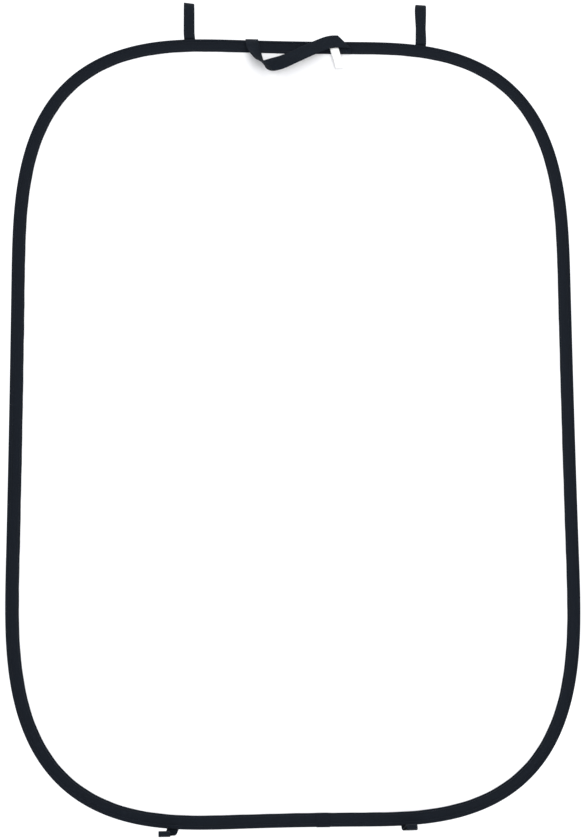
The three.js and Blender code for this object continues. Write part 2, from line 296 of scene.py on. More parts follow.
def surface_piece(name, points, uv, long_ring=False, round_ring=False, capped=False):
    """A mesh from one or more grids of points: quads between neighbours, closed along either way if asked,
    with a flat face over each end if capped. uv has one more row or column where the grid is closed. A closed
    mesh whose volume comes out negative is turned, so that its faces point outwards."""
    rows, cols = points.shape[-3:-1]
    points = points.reshape(-1, rows, cols, 3)
    uv = uv.reshape(len(points), -1, cols + round_ring, 2)
    counts = (len(points), rows - 1 + long_ring, cols - 1 + round_ring)
    patch, row, col = np.indices(counts).reshape(3, -1)
    first = patch * rows * cols
    next_row, next_col = (row + 1) % rows, (col + 1) % cols
    quads = np.stack(
        [row * cols + col, row * cols + next_col, next_row * cols + next_col, next_row * cols + col], -1
    )
    quads += first[:, None]
    quad_uv = np.stack([uv[patch, row + up, col + on] for up, on in ((0, 0), (0, 1), (1, 1), (1, 0))], 1)
    flat = points.reshape(-1, 3)
    turned = False
    if capped or (long_ring and round_ring):
        a, b, c, d = (flat[quads[:, k]] for k in range(4))
        turned = np.sum(np.cross(a - c, b - d) * (a + b + c + d - 4 * flat.mean(0))) < 0
    if turned:
        quads, quad_uv = quads[:, ::-1], quad_uv[:, ::-1]
    corners = [quads.ravel()]
    texture = [quad_uv.reshape(-1, 2)]
    sizes_of_faces = [np.full(len(quads), 4)]
    if capped:
        start = np.arange(len(points))[:, None] * rows * cols
        near = start + np.arange(cols)[::-1]
        far = start + np.arange(cols) + (rows - 1) * cols
        if turned:
            near, far = near[:, ::-1], far[:, ::-1]
        corners += [near.ravel(), far.ravel()]
        texture.append(np.repeat(uv[:, :1, 0], 2 * cols, 1).reshape(-1, 2))
        sizes_of_faces.append(np.full(2 * len(points), cols))
    corners, texture, sizes_of_faces = map(np.concatenate, (corners, texture, sizes_of_faces))
    mesh = bpy.data.meshes.new(name)
    mesh.vertices.add(len(flat))
    mesh.vertices.foreach_set("co", flat.astype(np.float32).ravel())
    mesh.loops.add(len(corners))
    mesh.loops.foreach_set("vertex_index", corners.astype(np.int32))
    mesh.polygons.add(len(sizes_of_faces))
    mesh.polygons.foreach_set(
        "loop_start", np.concatenate([[0], np.cumsum(sizes_of_faces)[:-1]]).astype(np.int32)
    )
    mesh.update(calc_edges=True)
    mesh.uv_layers.new(name="Surface").data.foreach_set("uv", texture.astype(np.float32).ravel())
    mesh.polygons.foreach_set("use_smooth", np.arange(len(sizes_of_faces)) < len(quads))
    if mesh.validate():
        raise ValueError(f"{name} has faces that can't be made")
    made = bpy.data.objects.new(name, mesh)
    bpy.context.scene.collection.objects.link(made)
    return made


def grid_uv(along, across):
    """A grid's own coordinates: metres along it by row and metres across it by column."""
    return np.stack(np.broadcast_arrays(along[:, None], across[None]), -1)


def finish_piece(piece, material, slot, *nodes):
    """Gives a piece its material, and hides the solids that it stands for. The slot is not used."""
    piece.data.materials.append(material)
    if nodes:
        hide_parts(*nodes)
    return piece


def bend_at_fold(piece):
    """For a piece that crosses mid-height: bakes its placing into its mesh."""
    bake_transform(piece)
    return piece


def to_space(flat, depth):
    """Points of the panel's plane and a depth in front of its middle, in the model's own frame."""
    return np.stack([flat[..., 0], -depth * np.ones_like(flat[..., 0]), fold_height + flat[..., 1]], -1)


# ---------------------------------------------------------------- materials


class Nodes:
    """A material's node tree, with a short way to add and join nodes."""

    def __init__(self, name):
        self.material = bpy.data.materials.new(name)
        self.material.use_nodes = True
        self.tree = self.material.node_tree
        self.shader = self.tree.nodes["Principled BSDF"]

    def add(self, kind, values=(), **settings):
        node = self.tree.nodes.new(kind)
        for key, value in settings.items():
            setattr(node, key, value)
        for socket, value in dict(values).items():
            self.put(node.inputs[socket], value)
        return node

    def put(self, socket, value):
        if isinstance(value, bpy.types.NodeSocket):
            self.tree.links.new(value, socket)
        else:
            socket.default_value = value

    def math(self, operation, first, second=0.0, third=0.0):
        node = self.add("ShaderNodeMath", operation=operation)
        for socket, value in zip(node.inputs, (first, second, third)):
            self.put(socket, value)
        return node.outputs[0]

    def uv(self):
        """The surface's own coordinates: metres along it and metres across it."""
        source = self.add("ShaderNodeUVMap", uv_map="Surface")
        split = self.add("ShaderNodeSeparateXYZ", {"Vector": source.outputs["UV"]})
        return source.outputs["UV"], split.outputs["X"], split.outputs["Y"]

    def wave(self, coordinate, pitch):
        """A sine of the coordinate, from -1 to 1, with the given pitch."""
        return self.math("SINE", self.math("MULTIPLY", coordinate, TAU / pitch))

    def noise(self, vector, scale, detail=3.0, roughness=0.55):
        values = {"Vector": vector, "Scale": scale, "Detail": detail, "Roughness": roughness}
        return self.add("ShaderNodeTexNoise", values).outputs["Fac"]

    def stretch(self, vector, scale):
        return self.add("ShaderNodeMapping", {"Vector": vector, "Scale": scale}).outputs["Vector"]

    def tint(self, low, high, amount):
        """A colour between two, by an amount from 0 to 1. The mix node's colours are its inputs 6 and 7."""
        node = self.add("ShaderNodeMix", data_type="RGBA")
        self.put(node.inputs["Factor"], amount)
        self.put(node.inputs[6], (*low, 1))
        self.put(node.inputs[7], (*high, 1))
        return node.outputs[2]

    def span(self, value, low, high):
        """A number that runs from 0 to 1, laid out between low and high."""
        return self.math("MULTIPLY_ADD", value, high - low, low)

    def bump(self, height, distance, strength=1.0, under=None):
        node = self.add("ShaderNodeBump", {"Height": height, "Distance": distance, "Strength": strength})
        if under is not None:
            self.put(node.inputs["Normal"], under)
        return node.outputs["Normal"]

    def surface(self, **values):
        for socket, value in values.items():
            self.put(self.shader.inputs[socket.replace("_", " ")], value)
        return self.material


def shade(colour, factor):
    """A colour made lighter or darker by a factor."""
    return tuple(min(channel * factor, 1) for channel in colour)


def white_cloth_material():
    """Close plain-woven white nylon: a fine grid of threads, slightly uneven, with a soft sheen."""
    nodes = Nodes("white_cloth")
    uv, along, across = nodes.uv()
    pitch = 0.9 * MM
    warp = nodes.wave(along, pitch)
    weft = nodes.wave(across, pitch)
    threads = nodes.math("MULTIPLY", warp, weft)
    slubs = nodes.noise(nodes.stretch(uv, (260, 9, 1)), 1.0, 2.0)
    cloudy = nodes.noise(uv, 3.1, 4.0)
    soft = nodes.bump(slubs, 0.16 * MM, 0.5)
    normal = nodes.bump(threads, 0.05 * MM, 0.55, soft)
    white = tuple(colours().white_cloth)
    colour = nodes.tint(shade(white, 0.972), shade(white, 1.012), cloudy)
    return nodes.surface(
        Base_Color=colour, Roughness=nodes.span(slubs, 0.62, 0.8), Normal=normal,
        Sheen_Weight=0.2, Sheen_Roughness=0.45, Specular_IOR_Level=0.3,
    )


def silver_cloth_material():
    """Metallised cloth: foil over a fine weave, hammered into small dents that catch the light, with long
    shallow creases and cloudy duller patches. Its base colour is painted lighter on the hammered dents, as
    painted glints."""
    nodes = Nodes("silver_cloth")
    uv, along, across = nodes.uv()
    weave = nodes.math("MULTIPLY", nodes.wave(along, 1.1 * MM), nodes.wave(across, 1.1 * MM))
    hammered = nodes.noise(uv, 190.0, 2.0)
    broad = nodes.noise(uv, 5.0, 5.0, 0.6)
    creases = nodes.noise(nodes.stretch(uv, (3.2, 21, 1)), 1.0, 5.0, 0.6)
    relief = nodes.bump(hammered, 0.9 * MM, 0.6, nodes.bump(creases, 14 * MM, 0.5))
    normal = nodes.bump(weave, 0.06 * MM, 0.5, relief)
    silver = tuple(colours().silver_cloth)
    # Painted glints: the colour is lighter where the hammered dents stand, mixed with the cloudy duller
    # patches.
    painted_glints_and_patches = nodes.math("MULTIPLY_ADD", hammered, 0.5, nodes.math("MULTIPLY", broad, 0.5))
    return nodes.surface(
        Base_Color=nodes.tint(shade(silver, 0.6), shade(silver, 1.4), painted_glints_and_patches), Metallic=0.9,
        Roughness=nodes.span(creases, 0.24, 0.44), Normal=normal,
    )


def edge_tape_material():
    """Black grosgrain polyester: ribs across the tape, fine threads along it, lighter where it is rubbed.
    Its colour also has painted shade: darker in the grooves between the ribs and lighter on their crests.
    """
    nodes = Nodes("edge_tape")
    uv, along, across = nodes.uv()
    rib = nodes.wave(along, 1.15 * MM)
    threads = nodes.wave(across, 0.62 * MM)
    relief = nodes.math("MULTIPLY_ADD", nodes.math("MULTIPLY", rib, threads), 0.35, rib)
    lint = nodes.noise(uv, 900.0, 2.0)
    wear = nodes.noise(nodes.stretch(uv, (12, 60, 1)), 1.0, 4.0, 0.62)
    normal = nodes.bump(relief, 0.2 * MM, 0.75, nodes.bump(wear, 0.5 * MM, 0.4))
    black = tuple(colours().edge_tape)
    grain = nodes.math("MULTIPLY_ADD", lint, 0.3, nodes.math("MULTIPLY", wear, 0.55))
    # Painted shade from the ribs' relief, darker in their grooves and lighter on their crests, added to the
    # lint and wear.
    painted_groove_shade_and_wear = nodes.math("MULTIPLY_ADD", relief, 0.12, nodes.math("ADD", grain, 0.06))
    return nodes.surface(
        Base_Color=nodes.tint(shade(black, 0.66), shade(black, 1.6), painted_groove_shade_and_wear),
        Roughness=nodes.span(wear, 0.66, 0.86), Normal=normal,
        Sheen_Weight=0.012, Sheen_Roughness=0.5, Specular_IOR_Level=0.13,
    )


def webbing_material():
    """Black polyester webbing: twisted yarns that slant one way and the other, with a dull gloss.
    Its colour also has painted shade: darker in the grooves between the yarns and lighter on their crests.
    """
    nodes = Nodes("webbing")
    uv, along, across = nodes.uv()
    zigzag = nodes.math("PINGPONG", across, sizes().weave_pitch)
    ply = nodes.wave(nodes.math("ADD", along, nodes.math("MULTIPLY", zigzag, 0.9)), 1.1 * MM)
    fuzz = nodes.noise(uv, 700.0, 3.0)
    wear = nodes.noise(nodes.stretch(uv, (20, 55, 1)), 1.0, 4.0)
    normal = nodes.bump(ply, 0.22 * MM, 0.8, nodes.bump(fuzz, 0.15 * MM, 0.4))
    black = tuple(colours().webbing)
    grain = nodes.math("MULTIPLY_ADD", wear, 0.5, nodes.math("MULTIPLY", fuzz, 0.2))
    # Painted shade from the yarns' relief, darker in their grooves and lighter on their crests, added to the
    # fuzz and wear.
    painted_groove_shade_and_wear = nodes.math("MULTIPLY_ADD", ply, 0.22, nodes.math("ADD", grain, 0.12))
    return nodes.surface(
        Base_Color=nodes.tint(shade(black, 0.35), shade(black, 1.9), painted_groove_shade_and_wear),
        Roughness=nodes.span(fuzz, 0.5, 0.78), Normal=normal,
        Sheen_Weight=0.012, Sheen_Roughness=0.5, Specular_IOR_Level=0.16,
    )


def thread_material():
    """Bonded black sewing thread: two plies twisted together, a little glossier than the tape. Its colour has
    painted shade, darker between the twisted plies and lighter on them.
    """
    nodes = Nodes("sewing_thread")
    _, along, across = nodes.uv()
    twist = nodes.wave(nodes.math("ADD", along, across), 0.7 * MM)
    black = tuple(colours().thread)
    # Painted shade: the colour follows the twist, darker between the plies and lighter on them.
    colour = nodes.tint(shade(black, 0.8), shade(black, 1.3), nodes.math("MULTIPLY_ADD", twist, 0.5, 0.5))
    normal = nodes.bump(twist, 0.06 * MM, 0.6)
    return nodes.surface(Base_Color=colour, Roughness=0.5, Normal=normal, Specular_IOR_Level=0.4)


def steel_material():
    """Blued spring steel: long rolling marks and a little tarnish."""
    nodes = Nodes("spring_steel")
    uv = nodes.uv()[0]
    marks = nodes.noise(nodes.stretch(uv, (14, 2600, 1)), 1.0, 3.0)
    tarnish = nodes.noise(uv, 60.0, 4.0)
    steel = tuple(colours().steel)
    return nodes.surface(
        Base_Color=nodes.tint(shade(steel, 0.75), steel, tarnish), Metallic=1.0,
        Roughness=nodes.span(marks, 0.24, 0.42), Normal=nodes.bump(marks, 0.03 * MM, 0.4),
    )


def sleeve_material():
    """Zinc-plated steel of the hoop's sleeve, read in the model's own coordinates."""
    nodes = Nodes("sleeve_steel")
    place = nodes.add("ShaderNodeTexCoord").outputs["Object"]
    spangle = nodes.noise(place, 300.0, 3.0)
    steel = tuple(colours().steel)
    return nodes.surface(
        Base_Color=nodes.tint(shade(steel, 0.85), shade(steel, 1.15), spangle), Metallic=1.0,
        Roughness=nodes.span(spangle, 0.3, 0.5), Normal=nodes.bump(spangle, 0.05 * MM, 0.5),
    )


def label_material():
    """Woven satin label: fine floats along its length, slightly cloudy, and nothing printed on it."""
    nodes = Nodes("label_satin")
    uv, along, across = nodes.uv()
    floats = nodes.math("MULTIPLY", nodes.wave(across, 0.45 * MM), nodes.wave(along, 1.3 * MM))
    cloudy = nodes.noise(uv, 90.0, 3.0)
    white = tuple(colours().label)
    return nodes.surface(
        Base_Color=nodes.tint(shade(white, 0.95), shade(white, 1.02), cloudy),
        Roughness=nodes.span(cloudy, 0.42, 0.55),
        Normal=nodes.bump(floats, 0.05 * MM, 0.5), Sheen_Weight=0.15, Specular_IOR_Level=0.4,
    )


def stage_material():
    """Smooth pale studio paper."""
    nodes = Nodes("stage_paper")
    place = nodes.add("ShaderNodeTexCoord").outputs["Object"]
    tooth = nodes.noise(place, 40.0, 4.0)
    pale = tuple(colours().floor)
    paper = nodes.tint(shade(pale, 0.99), shade(pale, 1.01), tooth)
    return nodes.surface(Base_Color=paper, Roughness=0.9, Specular_IOR_Level=0.1)


# ---------------------------------------------------------------- cloths


def cloth_relief(flat, outline):
    """How far the stretched cloths stand forward of the mid-plane: a slight billow, puckers that fade away
    from the tape over a few centimetres, and long shallow drags that leave the corners and die out towards
    the middle."""
    size = sizes()
    marks = even_steps(outline, 1400)
    rim = outline.point(marks)
    away = np.empty(len(flat))
    nearest = np.empty(len(flat))
    block = 4000
    for start in range(0, len(flat), block):
        part = flat[start : start + block]
        gap = np.hypot(part[:, None, 0] - rim[None, :, 0], part[:, None, 1] - rim[None, :, 1])
        index = gap.argmin(1)
        away[start : start + block] = gap[np.arange(len(part)), index]
        nearest[start : start + block] = marks[index]
    x = flat[:, 0] / size.half_width
    z = flat[:, 1] / size.half_height
    past_tape = away - size.tape_width
    billow = 4.5 * MM * (1 - x**2) * (1 - z**2) * ease(past_tape / 0.12)
    pucker = ripple(nearest, outline.length, (0.047, 0.061, 0.038), 5)
    puckers = 0.55 * MM * pucker * np.exp(-past_tape / 0.03) * ease(past_tape / 0.02)
    angle = np.arctan2(z, x)
    radius = np.hypot(x, z)
    drag = np.sin(26 * angle + 2.5 * radius) + 0.6 * np.sin(41 * angle - 3 * radius + 1.3)
    corner = np.sin(2 * angle) ** 4
    drags = 0.7 * MM * drag * corner * np.clip(radius - 0.35, 0, 1) ** 1.5 * ease(past_tape / 0.05)
    slack = np.sin(7.3 * x + 2.1 * z + 0.6) * np.sin(5.1 * z - 1.9 * x)
    return billow + puckers + drags + 1.1 * MM * slack * ease(past_tape / 0.2)


def cloth_sheet(name, outline, depth, material, slot, nodes):
    """A stretched cloth: the flat patch whose four edges are the outline, drawn in to the cloth's edge,
    between its corners' middles, each point the sum of the two ruled blends less the blend of the four
    corners. It is lifted by the cloths' relief, and its edge lies inside the tape."""
    size = sizes()
    inset = size.cloth_inset
    low_left, top_left, top_right, low_right = outline.corners()
    across = np.linspace(0, 1, size.cloth_columns + 1)
    up = np.linspace(0, 1, size.cloth_rows + 1)
    low_left_end = low_left + outline.length
    left = outline.inset(low_left + (top_left - low_left) * up, inset)
    top = outline.inset(top_left + (top_right - top_left) * across, inset)
    right = outline.inset(low_right + (top_right - low_right) * up, inset)
    bottom = outline.inset(low_left_end + (low_right - low_left_end) * across, inset)
    u, v = across[None, :, None], up[:, None, None]
    ruled = (1 - u) * left[:, None] + u * right[:, None] + (1 - v) * bottom[None] + v * top[None]
    ends = (1 - v) * ((1 - u) * bottom[0] + u * bottom[-1]) + v * ((1 - u) * top[0] + u * top[-1])
    flat = ruled - ends
    relief = cloth_relief(flat.reshape(-1, 2), outline).reshape(flat.shape[:2])
    points = to_space(flat, depth + relief)
    if depth < 0:
        points, flat = points[:, ::-1], flat[:, ::-1]
    piece = surface_piece(name, points, flat)
    solid = piece.modifiers.new("Cloth thickness", "SOLIDIFY")
    solid.thickness = size.cloth_thickness
    solid.offset = 0
    finish_piece(piece, material, slot, *nodes)
    return bend_at_fold(piece)


# ---------------------------------------------------------------- edge tape, hoop and stitches


def even_steps(outline, count):
    """Distances along the outline of so many equal steps all the way round."""
    return np.arange(count) * outline.length / count


def tape_face():
    """The front half of the tape's section, from its inner hem to the panel's edge, as distance in from the
    edge and depth in front of the mid-plane: flat, with a groove under each row of stitches and a round bead
    over the hoop."""
    size = sizes()
    width, hem, bead = size.tape_width, size.hem_depth, size.bead_depth
    outer, inner = size.outer_stitches, size.inner_stitches
    groove = 0.32 * MM
    return [
        (width, hem - 0.35 * MM),
        (width - 0.9 * MM, hem + 0.06 * MM),
        (inner + 2.2 * MM, hem),
        (inner, hem - groove),
        (inner - 2.2 * MM, hem),
        (outer + 9 * MM, hem + 0.05 * MM),
        (outer + 2.1 * MM, hem),
        (outer, hem - groove),
        (outer - 1.7 * MM, hem + 1.45 * MM),
        (outer - 3.4 * MM, bead - 0.3 * MM),
        (outer - 5.3 * MM, bead),
        (1.7 * MM, 0.88 * bead),
        (0.45 * MM, 0.53 * bead),
    ]


def tape_pucker(along, outline, inset, front):
    """How far the tape's face rises and sinks along the edge, most at the hem and least over the hoop."""
    wave = ripple(along, outline.length, (0.033, 0.052, 0.12, 0.4), 11 if front else 12)
    return 0.26 * MM * wave * (0.25 + 0.75 * ease(inset / sizes().tape_width))


def tape_section(lift=0.0, thickness=0.75 * MM):
    """The tape's closed section: its outer face from the front hem over the edge to the back hem, then its
    inner face back again. Gives distance in from the edge, signed depth and distance round the face."""
    face = tape_face()
    ring = face + [(0.0, 0.0)] + [(inset, -depth) for inset, depth in face[::-1]]
    outside = smooth_path(ring, 45)
    way = unit(np.gradient(outside, axis=0))
    normal = np.stack([-way[:, 1], way[:, 0]], -1)
    outside, inside = outside - normal * lift, outside + normal * (thickness - lift)
    rim = 0.3 * thickness * way
    front_hem = (outside[0] + inside[0]) / 2 - rim[0]
    back_hem = (outside[-1] + inside[-1]) / 2 + rim[-1]
    section = np.concatenate([outside, [back_hem], inside[::-1], [front_hem]])
    around = travel(outside)
    across = np.concatenate([around, around[-1:], around[::-1], [0, 0]])
    return section, across


def tape_points(along, outline, section):
    """The section carried along the outline, square to it, with the tape's puckers."""
    inset, depth = section[:, 0][None], section[:, 1][None]
    front = tape_pucker(along[:, None], outline, inset, True)
    back = tape_pucker(along[:, None], outline, inset, False)
    rise = np.where(depth > 0, front, -back) * ease(np.abs(depth) / MM)
    waver = 0.35 * MM * ripple(along, outline.length, (0.07, 0.19), 13)[:, None] * ease(inset / 0.03 - 0.1)
    edge, inward = outline.frame(along)
    return to_space(edge + inward * (inset + waver)[..., None], depth + rise)


def edge_tape(outline, material):
    """The tape round the whole edge, one closed ring."""
    section, across = tape_section()
    along = even_steps(outline, 1080)
    uv = grid_uv(np.append(along, outline.length), across)
    points = tape_points(along, outline, section)
    piece = surface_piece("edge_tape", points, uv, long_ring=True, round_ring=True)
    finish_piece(piece, material, "edge_tape", "edge_tape_upper", "edge_tape_lower")
    return bend_at_fold(piece)


def tape_lap(outline, material):
    """The tape's finishing end: a short stretch of the same section, one thickness further out, over the
    place where the ring is closed."""
    section, across = tape_section(lift=0.85 * MM, thickness=0.7 * MM)
    start = outline.along_at(lap_high.x, False)
    stop = outline.along_at(lap_low.x, False)
    along = np.linspace(start, stop, 22)
    points = tape_points(along, outline, section)
    piece = surface_piece("edge_tape_end", points, grid_uv(along, across), round_ring=True, capped=True)
    finish_piece(piece, material, "edge_tape", "edge_tape_lap")
    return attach(piece, "lower_half")


def spring_hoop(outline):
    """The hoop: a flat strip of spring steel with rounded edges, on edge inside the tape's bead."""
    round_count = 12
    turn = np.arange(round_count) * TAU / round_count
    strip_thickness, strip_width, middle = 1.2 * MM, 5.6 * MM, 3.0 * MM
    inset = middle + strip_thickness / 2 * np.sign(np.cos(turn)) * np.abs(np.cos(turn)) ** 0.5
    depth = strip_width / 2 * np.sign(np.sin(turn)) * np.abs(np.sin(turn)) ** 0.5
    along = even_steps(outline, 900)
    edge, inward = outline.frame(along)
    points = to_space(edge + inward * inset[None, :, None], depth)
    round_it = np.linspace(0, 2 * (strip_width + strip_thickness), round_count + 1)
    uv = grid_uv(np.append(along, outline.length), round_it)
    piece = surface_piece("spring_hoop", points, uv, long_ring=True, round_ring=True)
    finish_piece(piece, steel_material(), "hoop_steel", "hoop_upper", "hoop_lower_left", "hoop_lower_right")
    return bend_at_fold(piece)


def stitches(name, middle, ahead, outward, length, material):
    """Sewn stitches: each a short rounded thread that rises from one needle hole and dips into the next, as
    half a sine. middle, ahead and outward give each stitch's place, way and the side that it shows on."""
    at = np.array([-0.5, -0.28, 0.28, 0.5])
    girth = np.array([0.55, 1, 1, 0.55])
    turn = np.arange(6) * TAU / 6
    half_width, half_thickness, rise = 0.33 * MM, 0.24 * MM, 0.2 * MM
    side = np.cross(ahead, outward)
    lift = rise * np.cos(math.pi * at) + 0.03 * MM
    centre = middle[:, None] + ahead[:, None] * (at * length)[:, None] + outward[:, None] * lift[:, None]
    ring_side = side[:, None, None] * (half_width * np.cos(turn))[:, None]
    ring_out = outward[:, None, None] * (half_thickness * np.sin(turn))[:, None]
    points = centre[:, :, None] + (ring_side + ring_out) * girth[:, None, None]
    uv = np.broadcast_to(grid_uv(at * length, np.linspace(0, 1.8 * MM, 7)), (len(middle), 4, 7, 2))
    piece = surface_piece(name, points, uv, round_ring=True, capped=True)
    return finish_piece(piece, material, "edge_tape")


def tape_stitch_rows(outline, material):
    """Two rows of stitches round each face of the tape, lying in its grooves."""
    size = sizes()
    count = round(outline.length / size.stitch_length)
    along = (np.arange(count) + 0.5) * outline.length / count
    way = outline.ahead(along)
    ahead = np.stack([way[:, 0], np.zeros(count), way[:, 1]], -1)
    for row, inset in (("outer", size.outer_stitches), ("inner", size.inner_stitches)):
        for face, sign in (("front", 1), ("back", -1)):
            depth = sign * (size.hem_depth - 0.28 * MM + tape_pucker(along, outline, inset, sign > 0))
            middle = to_space(outline.inset(along, inset), depth)
            outward = np.broadcast_to((0.0, -sign, 0.0), middle.shape)
            piece = stitches(
                f"{row}_stitches_{face}", middle, ahead, outward, 0.8 * size.stitch_length, material
            )
            bend_at_fold(piece)


def seam(corners, pitch):
    """Stitch places along straight seams between corners: the middle and the way of each stitch."""
    middles, ways = [], []
    for start, stop in zip(corners[:-1], corners[1:]):
        start, stop = np.asarray(start, float), np.asarray(stop, float)
        count = max(round(np.linalg.norm(stop - start) / pitch), 1)
        share = (np.arange(count) + 0.5) / count
        middles.append(start + (stop - start) * share[:, None])
        ways.append(np.broadcast_to(unit(stop - start), (count, 3)))
    return np.concatenate(middles), np.concatenate(ways)


def box_of_stitches(x, y, low, high, half):
    """A sewn square with its two diagonals, in a plane that faces the front or the back."""
    left, right = x - half, x + half
    square = [
        (left, y, high), (right, y, high), (right, y, low), (left, y, low), (left, y, high), (right, y, low)
    ]
    other = [(left, y, low), (right, y, high)]
    first, second = seam(square, SEAM_PITCH), seam(other, SEAM_PITCH)
    return [np.concatenate(pair) for pair in zip(first, second)]


# ---------------------------------------------------------------- webbing


def webbing(name, middle, width, thickness, material, slot, nodes, columns=None):
    """Woven webbing from its middle surface, a grid of rows along it and columns across it. Each face stands
    off the middle surface by half the thickness, raised into one low rib for each column of the weave, and
    falls to nothing at the rounded selvedges, as the root of one less the square of the way into the edge."""
    cols = middle.shape[1]
    step_along, step_across = np.gradient(middle, axis=0), np.gradient(middle, axis=1)
    normal = unit(np.cross(step_along, step_across))
    across = np.linspace(-1, 1, cols)
    columns = columns or max(round(width / sizes().weave_pitch), 1)
    edge = np.clip((np.abs(across) - 1 + 2 * thickness / width) / (2 * thickness / width), 0, 1)
    rib = 0.8 + 0.2 * np.abs(np.cos(across * columns * math.pi / 2))
    stand = thickness / 2 * np.sqrt(1 - edge**2) * rib
    front = middle + normal * stand[None, :, None]
    back = middle - normal * stand[None, :, None]
    points = np.concatenate([front, back[:, -2:0:-1]], 1)
    along = travel(middle[:, cols // 2])
    lateral = across * width / 2
    round_it = np.concatenate([lateral, 2 * lateral[-1] - lateral[-2::-1]])
    piece = surface_piece(name, points, grid_uv(along, round_it), round_ring=True, capped=True)
    return finish_piece(piece, material, slot, *nodes)


def ribbon(path, across, width, columns=61):
    """A middle surface: each point of the path spread to both sides along its across direction."""
    lateral = np.linspace(-0.5, 0.5, columns) * width
    return path[:, None] + across[:, None] * lateral[None, :, None]


@dataclass
class LoopShape:
    """One webbing loop, close to its solid: how long it stands, how it leans and how wide it opens. Bottom
    loops drop, bend forwards and rise at an angle."""

    name: str
    top: bool
    length: float
    lean: float
    opening: float
    tilt: float = 0.0
    drop: float = 0.0
    bend: float = 0.0
    rise: float = 0.0

    @property
    def half(self):
        """The half of the panel that it is sewn to."""
        return "upper_half" if self.top else "lower_half"

    @property
    def pivot(self):
        """Where it swings."""
        return joints[self.name + "_swing"]["pos_m"]

    @property
    def front(self):
        """The side on which its near ply lies."""
        return -1 if self.top else 1

    @property
    def crown(self):
        """How far along the spine the round of its far end begins."""
        return self.length - self.opening / 2 - sizes().webbing_thickness

    def spine(self, along):
        """Places and directions of the loop's middle line in depth and height. A top loop stands straight up.
        A bottom loop runs down, round an arc towards the front, and on in a straight line."""
        if self.top:
            place = np.stack([0 * along, along], -1)
            way = np.stack([0 * along, np.ones_like(along)], -1)
            return place, way
        turned = np.clip((along - self.drop) / self.bend, 0, math.pi / 2 + self.rise)
        down = np.minimum(along, self.drop)
        beyond = np.maximum(along - self.drop - self.bend * (math.pi / 2 + self.rise), 0)
        depth = -self.bend * (1 - np.cos(turned)) - beyond * np.sin(turned)
        height = -down - self.bend * np.sin(turned) - beyond * np.cos(turned)
        return np.stack([depth, height], -1), np.stack([-np.sin(turned), -np.cos(turned)], -1)

    def side_line(self, side):
        """One ply of the loop from its seam to its crown: the spine, with half the gap between the plies and
        half the webbing's thickness added to one side."""
        half_ply = sizes().webbing_thickness / 2
        along = np.linspace(1.5 * MM, self.crown, 44)
        place, way = self.spine(along)
        least, closed = 0.15 * MM, 12 * MM
        gap = least + (self.opening / 2 - least) * ease((along - closed) / (self.crown - closed))
        return place + np.stack([way[:, 1], -way[:, 0]], -1) * (side * (gap + half_ply))[:, None]

    def crown_arc(self):
        """The half circle that joins the two plies at the loop's far end."""
        place, way = self.spine(np.array([self.crown]))
        turn = np.linspace(0, math.pi, 20)[1:-1, None]
        normal = np.stack([way[:, 1], -way[:, 0]], -1)
        radius = (self.opening + sizes().webbing_thickness) / 2
        return place + radius * (normal * self.front * np.cos(turn) + way * np.sin(turn))

    def tail(self, edge, outer):
        """The sewn end on the tape's back, from its cut end to the loop's seam, as depth behind the mid-plane
        and height, one ply over the other."""
        ply = sizes().webbing_thickness + PLY_GAP
        sign = 1 if self.top else -1
        if outer:
            rows = [(ON_TAPE, 31), (ON_TAPE, 13), (3.7, 10.6), (6.15, 6.8)]
            rows += [(6.3, 2.0), (5.2, -1.9), (2.6, -4.3)]
            shift = ply
        else:
            rows = [(ON_TAPE, 32), (ON_TAPE, 12.4), (3.6, 10.2), (6.1, 6.4)]
            rows += [(6.2, 2.6), (4.8, -0.9), (1.9, -2.5)]
            shift = 0
        rows = np.array(rows) * MM
        rows[:, 0] += shift
        return np.stack([rows[:, 0], edge - sign * rows[:, 1]], -1)


def loop_path(shape, edge):
    """The whole webbing of a loop, in depth and height: up from the cut end of the inner ply, over the edge,
    round the loop and back to the cut end of the outer ply, then evened out."""
    origin = np.array([0.0, shape.pivot[2]])
    near = shape.side_line(shape.front) + origin
    far = shape.side_line(-shape.front)[::-1] + origin
    inner = shape.tail(edge, False)
    outer = shape.tail(edge, True)[::-1]
    return smooth_path(np.concatenate([inner, near, shape.crown_arc() + origin, far, outer]), 190)


def webbing_loop(shape, outline, material):
    """A loop of webbing with both ends sewn one over the other on the tape's back. It leans as it leaves
    the edge, its ends fan out a little, and its webbing is slightly cupped.
    Gives the height of the edge where it is sewn."""
    size = sizes()
    x = shape.pivot[0]
    edge = fold_height + outline.edge_height(x, shape.top)
    path = loop_path(shape, edge)
    run = travel(path)
    outside = np.flatnonzero(path[:, 1] > edge if shape.top else path[:, 1] < edge)
    out = np.clip(np.minimum(run - run[outside[0]], run[outside[-1]] - run), 0, None)
    leaning_run = (26 if shape.top else 48) * MM
    lean = shape.lean * ease(out / leaning_run)
    fan = 1.6 * MM * np.linspace(-1, 1, len(path))
    curl = 0.35 * MM * np.sin(out / (17 * MM))
    centre = np.stack([x + lean + fan, path[:, 0], path[:, 1]], -1)
    across = np.broadcast_to((1.0, 0.0, 0.0), centre.shape)
    middle = ribbon(centre, across, size.loop_width)
    cup = np.linspace(-1, 1, middle.shape[1]) ** 2
    middle[..., 1] += curl[:, None] * cup
    tilt = shape.tilt * ease(out / shape.length)
    middle[..., 2] += tilt[:, None] * (middle[..., 0] - x)
    piece = webbing(
        shape.name + "_webbing", middle, size.loop_width, size.webbing_thickness, material, "loop_webbing",
        [shape.name, shape.name + "_end"],
    )
    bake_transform(piece)
    return edge


